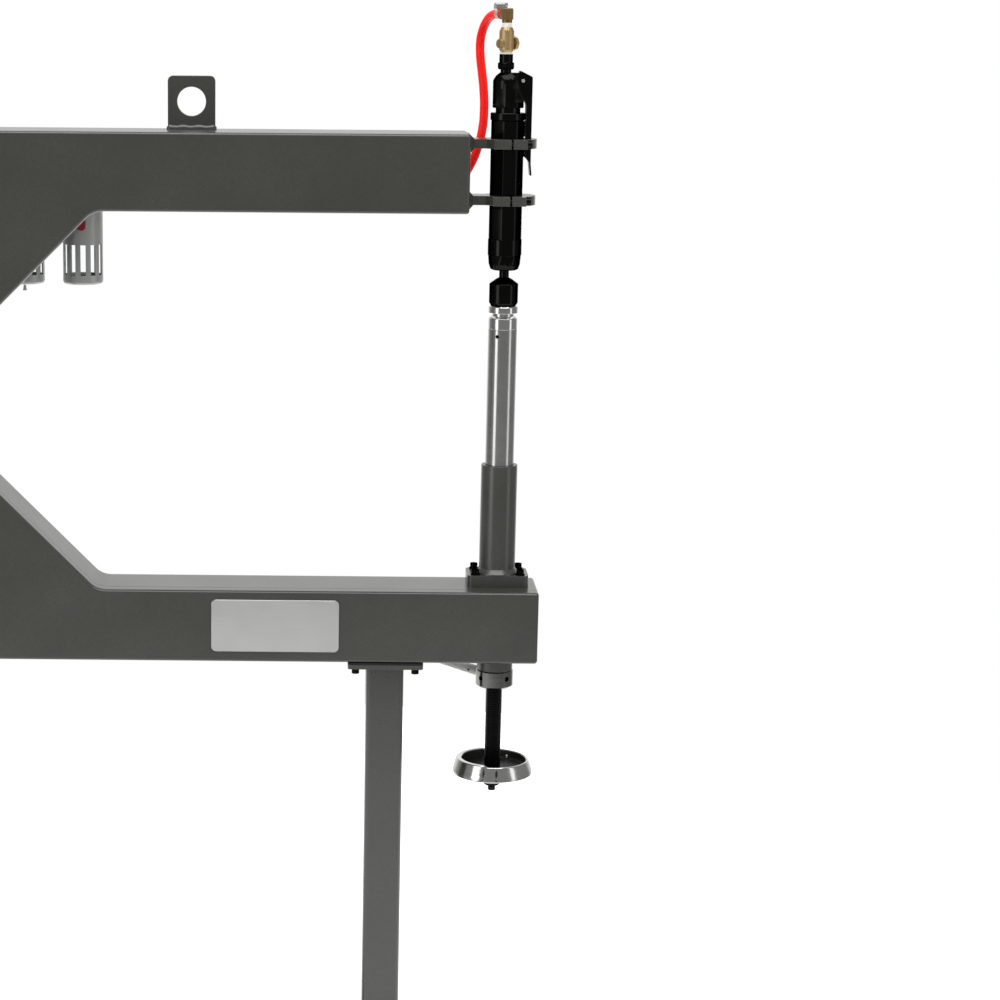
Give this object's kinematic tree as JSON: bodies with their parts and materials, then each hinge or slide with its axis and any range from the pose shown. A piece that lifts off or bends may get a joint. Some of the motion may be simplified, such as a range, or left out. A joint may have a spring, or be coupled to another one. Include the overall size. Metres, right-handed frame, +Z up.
{
  "type": "pneumatic planishing hammer",
  "caption": "Air hammer clamped in a deep welded C-frame above a screw-lifted anvil post, on a bolted stand, for smoothing sheet metal.",
  "frame": {"origin": "on the floor, at the middle of the four anchor holes", "axes": "+Z up, +X from the column towards the hammer, +Y to the side that carries the air preparation unit"},
  "size_m": [0.8655, 0.6, 1.6166],
  "materials": {
    "frame_paint": "dark grey powder coat",
    "black_oxide": "black oxide steel, slightly oiled",
    "bare_steel": "turned bare steel",
    "polished_steel": "polished and plated steel",
    "brass": "machined brass",
    "hose_red": "smooth red hose",
    "ptfe_white": "wound white thread tape",
    "red_plastic": "moulded red plastic",
    "clear_bowl": "clear polycarbonate",
    "cast_zinc": "painted die casting",
    "guard_metal": "grey enamelled guard",
    "gasket_rubber": "black sheet rubber",
    "black_plastic": "moulded black plastic"
  },
  "bodies": {
    "frame": {"front_shell": "frame_paint", "rear_shell": "frame_paint", "lifting_eye": "frame_paint", "upper_clamp_yoke": "frame_paint", "lower_clamp_yoke": "frame_paint", "upper_clamp_cap": "frame_paint", "lower_clamp_cap": "frame_paint", "clamp_bolts": "black_oxide", "front_leg": "frame_paint", "rear_leg": "frame_paint", "front_foot": "frame_paint", "rear_foot": "frame_paint", "tie_bar": "frame_paint", "floor_pads": "frame_paint", "foot_caps": "black_plastic", "leg_gaskets": "gasket_rubber", "leg_bolts": "black_oxide", "post_sleeve": "frame_paint", "sleeve_flange": "frame_paint", "flange_bolts": "black_oxide", "lift_nut": "brass", "hammer_barrel": "black_oxide", "barrel_lock_ring": "black_oxide", "hammer_backhead": "black_oxide", "lever_pin": "bare_steel", "inlet_bushing": "black_oxide", "thread_seals": "ptfe_white", "flow_valve_body": "brass", "hose_elbow": "brass", "air_hose": "hose_red", "hose_clamps": "polished_steel", "unit_bracket": "bare_steel", "bracket_bolts": "black_oxide", "filter_body": "cast_zinc", "filter_bowl": "clear_bowl", "filter_guard": "guard_metal", "lubricator_body": "cast_zinc", "lubricator_bowl": "clear_bowl", "lubricator_guard": "guard_metal", "pressure_gauge": "black_plastic", "outlet_barb": "brass", "oil_sight_dome": "clear_bowl"},
    "lever": {"throttle_lever": "black_oxide"},
    "plunger": {"throttle_plunger": "bare_steel"},
    "piston": {"piston": "bare_steel"},
    "upper_die": {"upper_die": "black_oxide"},
    "flow_knob": {"flow_knob": "brass"},
    "post": {"anvil_post": "bare_steel", "lower_die": "polished_steel", "die_set_screw": "black_oxide"},
    "screw": {"lift_screw": "black_oxide", "handwheel": "polished_steel", "wheel_bolt": "black_oxide"},
    "lock": {"lock_nut": "bare_steel", "lock_lever": "polished_steel"},
    "regulator": {"regulator_knob": "black_plastic"},
    "drip": {"drip_screw": "brass"},
    "drain": {"drain_cock": "bare_steel"},
    "filter_button": {"filter_lock_button": "red_plastic"},
    "lubricator_button": {"lubricator_lock_button": "red_plastic"}
  },
  "joints": [
    {"name": "lever_press", "type": "hinge", "parent": "frame", "child": "lever", "pos_m": [0.473, 0.0104, 1.5184], "axis": [0, 1, 0], "range_deg": [0, 1.3], "stiffness_Nm_per_rad": 0.5, "springref_deg": -11.46},
    {"name": "plunger_slide", "type": "slide", "parent": "frame", "child": "plunger", "axis": [-1, 0, 0], "range_m": [0, 0.00041]},
    {"name": "piston_stroke", "type": "slide", "parent": "frame", "child": "piston", "axis": [0, 0, 1], "range_m": [0, 0.07]},
    {"name": "die_stroke", "type": "slide", "parent": "frame", "child": "upper_die", "axis": [0, 0, 1], "range_m": [0, 0.0075]},
    {"name": "flow_turn", "type": "hinge", "parent": "frame", "child": "flow_knob", "pos_m": [0.451, 0.0104, 1.5653], "axis": [0.788, 0.6157, 0], "range_deg": [0, 90]},
    {"name": "post_lift", "type": "slide", "parent": "frame", "child": "post", "axis": [0, 0, 1], "range_m": [-0.1, 0]},
    {"name": "screw_turn", "type": "hinge", "parent": "post", "child": "screw", "pos_m": [0.455, 0.0104, 0.75], "axis": [0, 0, 1], "range_deg": [-7200, 0]},
    {"name": "lock_turn", "type": "hinge", "parent": "frame", "child": "lock", "pos_m": [0.455, 0.0104, 0.72], "axis": [0, 0, 1], "range_deg": [-90, 0]},
    {"name": "regulator_turn", "type": "hinge", "parent": "frame", "child": "regulator", "pos_m": [-0.186, 0.091, 1.42], "axis": [0, 0, 1], "range_deg": [-360, 360]},
    {"name": "drip_turn", "type": "hinge", "parent": "frame", "child": "drip", "pos_m": [-0.107, 0.091, 1.42], "axis": [0, 0, 1], "range_deg": [0, 360]},
    {"name": "drain_turn", "type": "hinge", "parent": "frame", "child": "drain", "pos_m": [-0.186, 0.091, 1.24], "axis": [0, 0, 1], "range_deg": [0, 90]},
    {"name": "filter_button_press", "type": "slide", "parent": "frame", "child": "filter_button", "axis": [0, 1, 0], "range_m": [0, 0.002], "stiffness_N_per_m": 200, "springref_m": -0.001},
    {"name": "lubricator_button_press", "type": "slide", "parent": "frame", "child": "lubricator_button", "axis": [0, 1, 0], "range_m": [0, 0.002], "stiffness_N_per_m": 200, "springref_m": -0.001}
  ],
  "couplings": [
    {"joint": "plunger_slide", "follows": "lever_press", "m_per_rad": 0.018},
    {"joint": "post_lift", "follows": "screw_turn", "m_per_rad": 0.00079577}
  ]
}
